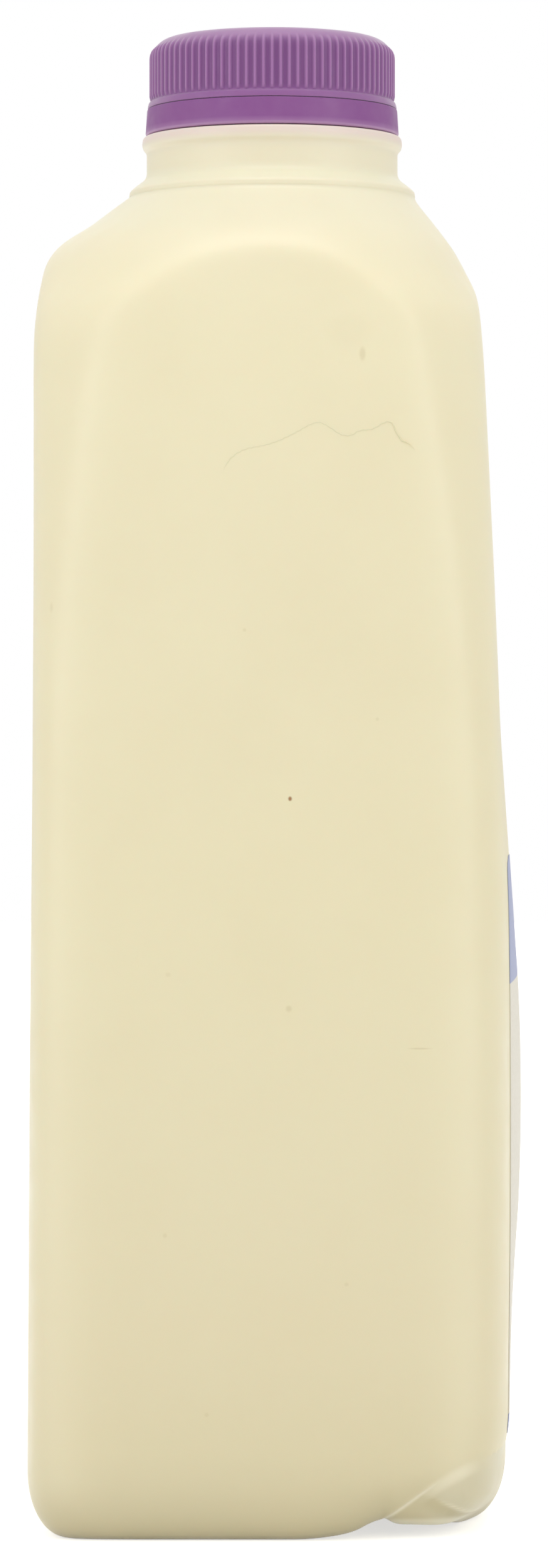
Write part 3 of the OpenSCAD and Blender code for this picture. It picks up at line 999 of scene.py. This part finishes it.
@dataclass
class Closure:
    """The screw cap, its liner and the tamper band under it."""

    ribs: int = 90
    points_per_rib: int = 10
    cap_r: float = 19.92
    rib_depth: float = 0.34
    bore_r: float = 19.0
    top: float = 239.0
    edge: float = 3.3
    skirt_low: float = 227.65
    rib_low: float = 228.85
    rib_high: float = 237.4
    slit: float = 0.07
    band_low: float = 223.25
    bridges: int = 8
    liner_t: float = 1.1
    lead: float = 12.0

    def cap_outline(self) -> np.ndarray:
        """Gives the cap's outline as rows of (r, z, how far the ribs stand out)."""
        skirt = self.cap_r - self.rib_depth
        outer = [(0.3, self.top - 0.1), (skirt - self.edge - 3, self.top - 0.02)]
        for angle in np.radians(np.arange(0, 91, 6)):
            outer.append((skirt - self.edge * (1 - math.sin(angle)), self.top - self.edge * (1 - math.cos(angle))))
        fade = np.linspace(self.top - self.edge, self.rib_low + 0.3, 14)
        outer += [(skirt, z) for z in fade[1:]]
        rim = filleted([
            (skirt, self.rib_low + 0.3, 0), (skirt + 0.02, self.rib_low + 0.02, 0.1),
            (self.cap_r + 0.1, self.rib_low - 0.2, 0.3), (self.cap_r + 0.28, self.skirt_low + 0.3, 0.2),
            (self.cap_r + 0.26, self.skirt_low, 0.12),
            (self.bore_r, self.skirt_low, 0.15), (self.bore_r, 235.8, 0.3), (18.25, 237.65, 0.2),
            (0.3, 237.65, 0)])
        path = np.concatenate([np.array(outer), rim[1:]])
        stand = ease(self.rib_low + 0.1, self.rib_low + 0.45, path[:, 1])
        stand = stand * ease(self.rib_high + 0.5, self.rib_high - 1.2, path[:, 1])
        stand[len(outer):] = 0
        return np.column_stack([path, stand])

    def build_cap(self, finish: PurplePlastic) -> bpy.types.Object:
        """Builds and dresses the ribbed cap."""
        steps = self.ribs * self.points_per_rib
        path = self.cap_outline()
        rings = turned(path[::-1, :2], steps)
        place = (np.arange(steps) % self.points_per_rib) / self.points_per_rib
        wave = ease(0.22, 0.42, place) * ease(0.78, 0.58, place)
        out = path[::-1, 2][:, None] * wave[None, :]
        radius = np.linalg.norm(rings[..., :2], axis=-1)
        rings[..., :2] *= ((radius + out * self.rib_depth) / radius)[..., None]
        rings[..., 2] += out * self.rib_depth * ease(self.top - self.edge, self.rib_high, rings[..., 2])
        builder = MeshBuilder("ribbed_cap")
        # Painted light: the lip mark lightens the skirt's lower edge a little and the top rounding, as lit from above;
        # the crest mark lightens the rib crests and rim; the groove mark darkens between the ribs.
        lip = ease(self.skirt_low + 0.5, self.skirt_low, rings[..., 2])
        rim = ease(self.rib_low + 0.3, self.rib_low - 0.1, rings[..., 2])
        top = ease(self.rib_high - 2.2, self.top - 0.3, rings[..., 2]) * ease(8, 16, radius) * 0.6
        groove = (1 - wave)[None, :] * path[::-1, 2][:, None]
        builder.loft(rings, crest=np.maximum(out, rim * 0.2), lip=np.maximum(lip * 0.1, top), groove=groove)
        for i in range(4):
            builder.loft(helix_ridge(self.bore_r + 0.05, self.bore_r - 0.98, 227.9, self.lead, 60, 20 + i * 90))
        made = builder.build(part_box("screw_cap"))
        made.data.materials.append(finish.material("purple_cap", 0.42))
        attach(made, Body.CAP.value)
        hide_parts("screw_cap")
        return made

    def build_liner(self, finish: LinerFoam) -> bpy.types.Object:
        """Builds and dresses the sealing disc, with the mouth's print in it."""
        low, high = self.top - 1.35 - self.liner_t, self.top - 1.35
        outline = filleted([
            (0.2, low, 0), (16.0, low, 0.3), (16.6, low + 0.15, 0.2), (17.5, low + 0.15, 0.2),
            (17.7, low, 0.1), (18.05, low, 0.15), (18.05, high, 0.2), (0.2, high, 0)])
        builder = MeshBuilder("seal_disc")
        builder.loft(turned(outline, 128))
        made = builder.build(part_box("cap_liner"))
        made.data.materials.append(finish.material())
        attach(made, Body.CAP.value)
        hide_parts("cap_liner")
        return made

    def build_band(self, finish: PurplePlastic) -> bpy.types.Object:
        """Builds and dresses the tamper band and its bridges."""
        top, low = self.skirt_low - self.slit, self.band_low
        outline = divided(filleted([
            (19.75, 226.5, 0), (19.75, low + 2.3, 0.2), (18.75, low + 1.6, 0.2), (18.75, low + 0.5, 0.2),
            (19.0, low, 0.15), (self.cap_r + 0.4, low, 0.15), (self.cap_r + 0.62, low + 0.35, 0.2),
            (self.cap_r + 0.36, top, 0.3), (19.75, top, 0.15), (19.75, 226.5, 0)]), 0.8)[:-1]
        builder = MeshBuilder("tamper_ring")
        rings = turned(outline, 240)
        # The lip mark paints light on the band's thin lower lip, in place of the shade in the gap under it.
        lip = ease(low + 0.8, low + 0.15, rings[..., 2])
        builder.loft(rings, closed=True, lip=lip, crest=np.zeros(lip.shape), groove=np.zeros(lip.shape))
        for i in range(self.bridges):
            angle = (i + 0.5) * 2 * math.pi / self.bridges
            spread = np.array([-0.02, -0.012, 0.012, 0.02])
            ring = [(20.0, spread[0]), (20.3, spread[1]), (20.3, spread[2]), (20.0, spread[3])]
            corners = [
                [(r * math.cos(angle + a), r * math.sin(angle + a), z) for r, a in ring]
                for z in (top - 0.15, top + self.slit * 0.3)]
            builder.loft(np.array(corners))
        made = builder.build(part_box("tamper_band"))
        made.data.materials.append(finish.material("purple_band", 0.0))
        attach(made, Body.BAND.value)
        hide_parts("tamper_band")
        return made


@dataclass
class Studio:
    """A pale floor and backdrop, soft lamps and the camera."""

    distance: float = 0.937
    eye: float = 0.1183
    side: float = 0.0003
    view_height: float = 0.2545
    sensor: float = 36.0

    def stage(self) -> None:
        """Makes the floor, white to the camera and pale to everything else."""
        mesh = bpy.data.meshes.new("floor")
        mesh.from_pydata([(-4, -4, 0), (4, -4, 0), (4, 4, 0), (-4, 4, 0)], [], [(0, 1, 2, 3)])
        floor = bpy.data.objects.new("floor", mesh)
        bpy.context.scene.collection.objects.link(floor)
        sheet = Sheet("floor_white")
        sheet.finish(linear(238, 238, 236), 0.8)
        path = sheet.add("ShaderNodeLightPath")
        seen = sheet.maths("MAXIMUM", path.outputs["Is Camera Ray"], path.outputs["Is Glossy Ray"])
        seen = sheet.maths("MAXIMUM", seen, path.outputs["Is Transmission Ray"])
        glow = sheet.add("ShaderNodeEmission")
        glow.inputs["Color"].default_value = (1, 1, 1, 1)
        glow.inputs["Strength"].default_value = 0.62
        both = sheet.add("ShaderNodeAddShader")
        sheet.join(sheet.shader.outputs["BSDF"], both.inputs[0])
        sheet.join(glow.outputs["Emission"], both.inputs[1])
        pick = sheet.add("ShaderNodeMixShader")
        sheet.join(seen, pick.inputs["Fac"])
        sheet.join(sheet.shader.outputs["BSDF"], pick.inputs[1])
        sheet.join(both.outputs["Shader"], pick.inputs[2])
        end = sheet.tree.nodes["Material Output"]
        sheet.join(pick.outputs["Shader"], end.inputs["Surface"])
        floor.data.materials.append(sheet.material)

    def sky(self, strength: float) -> None:
        """Makes the surrounding light, which the camera sees as white."""
        world = bpy.data.worlds.new("studio")
        bpy.context.scene.world = world
        world.use_nodes = True
        tree = world.node_tree
        tree.nodes.clear()
        path = tree.nodes.new("ShaderNodeLightPath")
        seen = tree.nodes.new("ShaderNodeMath")
        seen.operation = "MAXIMUM"
        tree.links.new(path.outputs["Is Camera Ray"], seen.inputs[0])
        tree.links.new(path.outputs["Is Transmission Ray"], seen.inputs[1])
        soft, white = tree.nodes.new("ShaderNodeBackground"), tree.nodes.new("ShaderNodeBackground")
        soft.inputs["Color"].default_value = (1, 0.995, 0.985, 1)
        soft.inputs["Strength"].default_value = strength
        white.inputs["Color"].default_value = (1, 1, 1, 1)
        white.inputs["Strength"].default_value = 1.0
        pick = tree.nodes.new("ShaderNodeMixShader")
        tree.links.new(seen.outputs["Value"], pick.inputs["Fac"])
        tree.links.new(soft.outputs["Background"], pick.inputs[1])
        tree.links.new(white.outputs["Background"], pick.inputs[2])
        end = tree.nodes.new("ShaderNodeOutputWorld")
        tree.links.new(pick.outputs["Shader"], end.inputs["Surface"])

    def lamp(self, name: str, place: Spot, aim: Spot, size: tuple[float, float], power: float) -> None:
        """Hangs one soft rectangular lamp.

        Args:
            name: The lamp's name.
            place: Where it hangs, in metres.
            aim: The point that it faces.
            size: Its width and height, in metres.
            power: Its power in watts.
        """
        light = bpy.data.lights.new(name, "AREA")
        light.shape = "RECTANGLE"
        light.size, light.size_y = size
        light.energy = power
        made = bpy.data.objects.new(name, light)
        made.location = place
        way = Vector(aim) - Vector(place)
        made.rotation_euler = way.to_track_quat("-Z", "Y").to_euler()
        bpy.context.scene.collection.objects.link(made)

    def camera(self) -> None:
        """Sets the camera level with the middle of the bottle."""
        data = bpy.data.cameras.new("camera")
        data.sensor_width = self.sensor
        data.lens = self.sensor * self.distance / self.view_height
        made = bpy.data.objects.new("camera", data)
        made.location = (self.side, -self.distance, self.eye)
        made.rotation_euler = (math.pi / 2, 0, 0)
        bpy.context.scene.collection.objects.link(made)
        bpy.context.scene.camera = made

    def build(self) -> None:
        """Builds the whole studio."""
        bpy.context.scene.view_settings.view_transform = "Standard"
        self.stage()
        self.sky(0.74)
        self.lamp("lamp_left", (-0.75, -0.55, 0.35), (0, 0, 0.12), (0.5, 0.9), 1.55)
        self.lamp("lamp_right", (0.75, -0.5, 0.35), (0, 0, 0.12), (0.5, 0.9), 1.35)
        self.lamp("lamp_top", (0.0, -0.25, 1.1), (0, 0, 0.15), (0.9, 0.7), 2.9)
        self.lamp("lamp_back", (0.0, 0.95, 0.5), (0, 0, 0.12), (0.9, 0.7), 0.6)
        self.camera()


def report(made: Iterable[bpy.types.Object]) -> None:
    """Logs each piece with its size in millimetres."""
    for piece in made:
        LOG.info("%s: %s", piece.name, [round(side / MM, 1) for side in piece.dimensions])


def main() -> None:
    """Builds the bottle, its closure, its label and its milk, and the studio around them."""
    logging.basicConfig(level=logging.INFO, format="%(name)s %(message)s")
    bottle = Bottle().build(MilkyWall())
    crease = HairlineCrease().build(bottle.data.materials[0])
    label = SideLabel().build(LabelPaper())
    milk = Milk().build(MilkLiquid())
    closure = Closure()
    purple = PurplePlastic()
    cap = closure.build_cap(purple)
    liner = closure.build_liner(LinerFoam())
    band = closure.build_band(purple)
    Studio().build()
    report([bottle, crease, label, milk, cap, liner, band])


if __name__ == "__main__":
    main()
